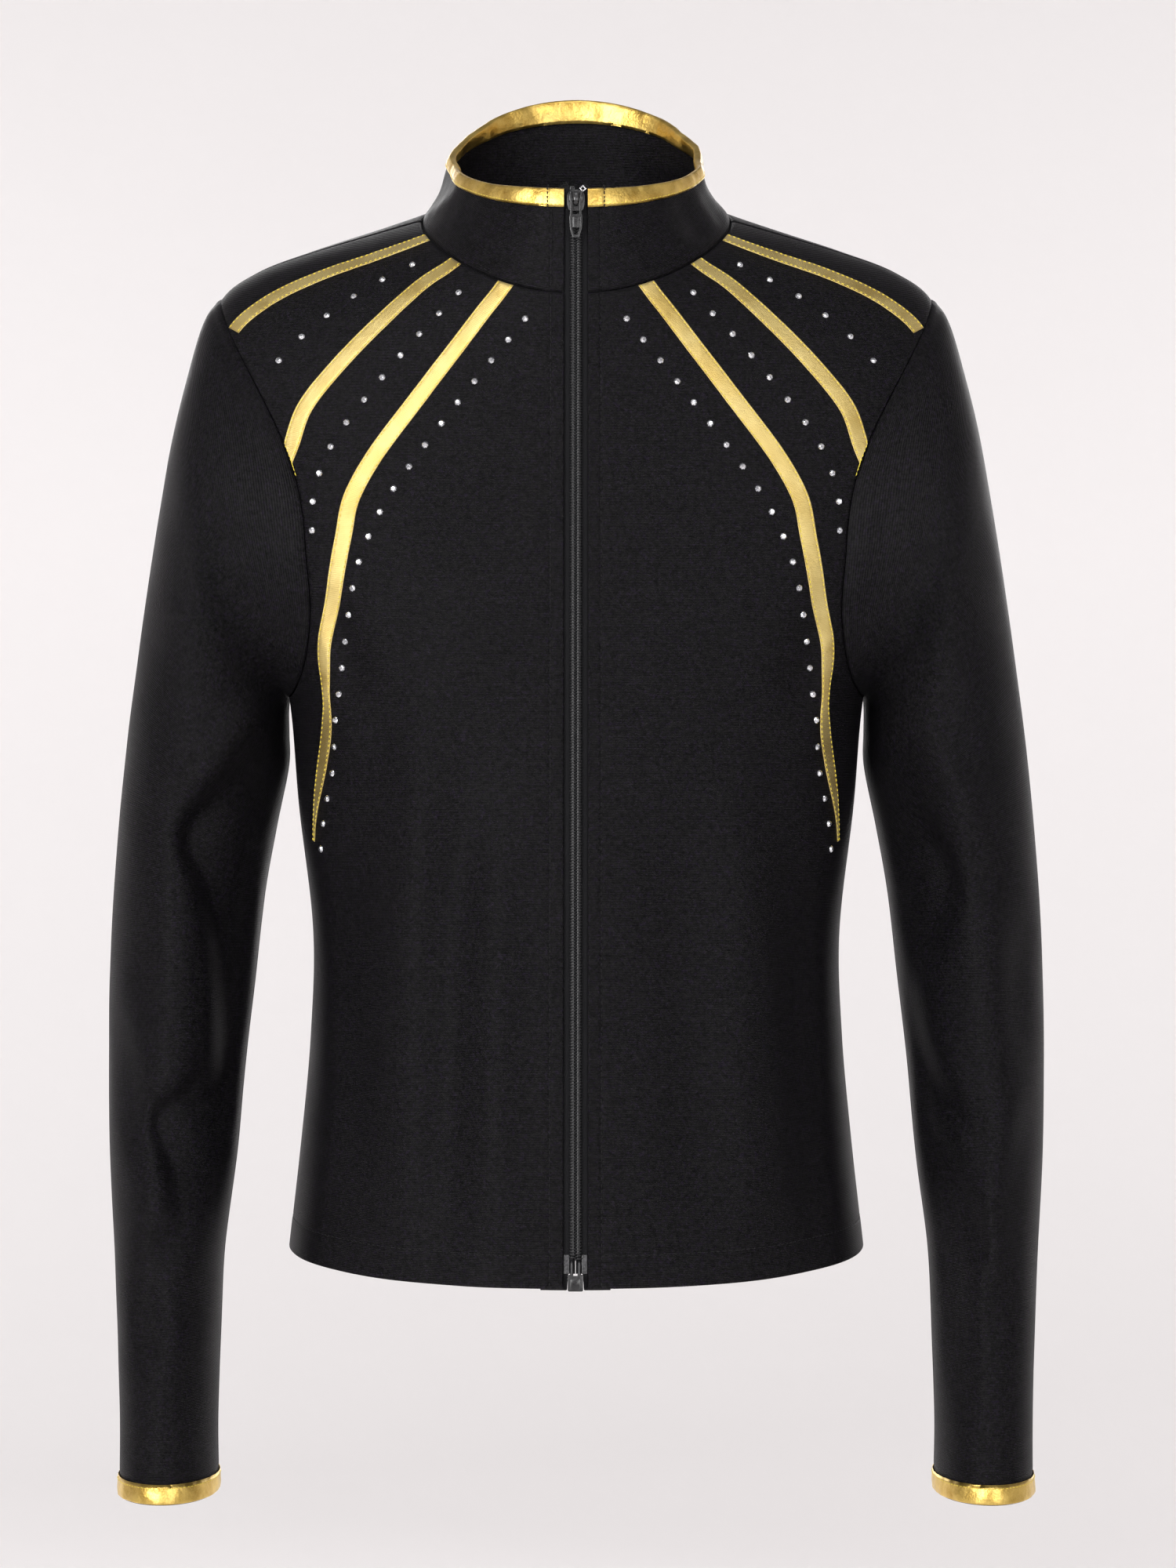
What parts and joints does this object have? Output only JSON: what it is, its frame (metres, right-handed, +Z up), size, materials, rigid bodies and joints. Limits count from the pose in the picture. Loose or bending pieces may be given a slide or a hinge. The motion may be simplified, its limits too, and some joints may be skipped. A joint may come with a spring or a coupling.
{
  "type": "cheer jacket",
  "caption": "Child's long-sleeved zip-front cheer jacket with stand collar, bound cuffs, fanned gold stripes and stone trim.",
  "frame": {"origin": "centre of the neck seam, level with its two side points", "axes": "+Z up, the wearer faces -Y, +X is the wearer's left"},
  "size_m": [0.4022, 0.2103, 0.6057],
  "materials": {
    "cloth_black": "satin stretch knit with fine cross ribs",
    "foil_gold": "shiny gold foil on stretch cloth",
    "foil_stripe": "gold foil strip with stitched edges",
    "stone_clear": "foil-backed faceted glass",
    "tape_black": "woven tape",
    "coil_black": "nylon coil",
    "slider_black": "black enamel",
    "metal_bright": "bright crimped stop",
    "film_grey": "translucent film"
  },
  "bodies": {
    "torso": {"front_panel_left": "cloth_black", "stripe_outer_left": "foil_stripe", "stones_outer_left": "stone_clear", "stripe_middle_left": "foil_stripe", "stones_middle_left": "stone_clear", "stripe_inner_left": "foil_stripe", "stones_inner_left": "stone_clear", "zip_tape_left": "tape_black", "zip_coil_left": "coil_black", "zip_top_stop_left": "metal_bright", "zip_film_left": "film_grey", "front_panel_right": "cloth_black", "stripe_outer_right": "foil_stripe", "stones_outer_right": "stone_clear", "stripe_middle_right": "foil_stripe", "stones_middle_right": "stone_clear", "stripe_inner_right": "foil_stripe", "stones_inner_right": "stone_clear", "zip_tape_right": "tape_black", "zip_coil_right": "coil_black", "zip_top_stop_right": "metal_bright", "zip_film_right": "film_grey", "back_panel": "cloth_black", "collar_outer": "cloth_black", "collar_facing": "cloth_black", "collar_binding": "foil_gold", "zip_box": "slider_black", "zip_box_pin": "coil_black", "zip_insertion_pin": "coil_black"},
    "zip_slider": {"zip_slider": "slider_black"},
    "zip_pull": {"zip_pull": "slider_black"},
    "sleeve_left": {"sleeve_left": "cloth_black", "cuff_binding_left": "foil_gold"},
    "sleeve_right": {"sleeve_right": "cloth_black", "cuff_binding_right": "foil_gold"}
  },
  "joints": [
    {"name": "zip_slide", "type": "slide", "parent": "torso", "child": "zip_slider", "axis": [0, -0.124, -0.9923], "range_m": [0, 0.434]},
    {"name": "pull_swing", "type": "hinge", "parent": "zip_slider", "child": "zip_pull", "pos_m": [0, -0.06308, -0.00163], "axis": [-1, 0, 0], "range_deg": [0, 160]},
    {"name": "sleeve_left_raise", "type": "hinge", "parent": "torso", "child": "sleeve_left", "pos_m": [0.157, 0, -0.03], "axis": [0, -1, 0], "range_deg": [0, 30]},
    {"name": "sleeve_right_raise", "type": "hinge", "parent": "torso", "child": "sleeve_right", "pos_m": [-0.157, 0, -0.03], "axis": [0, 1, 0], "range_deg": [0, 30]}
  ]
}
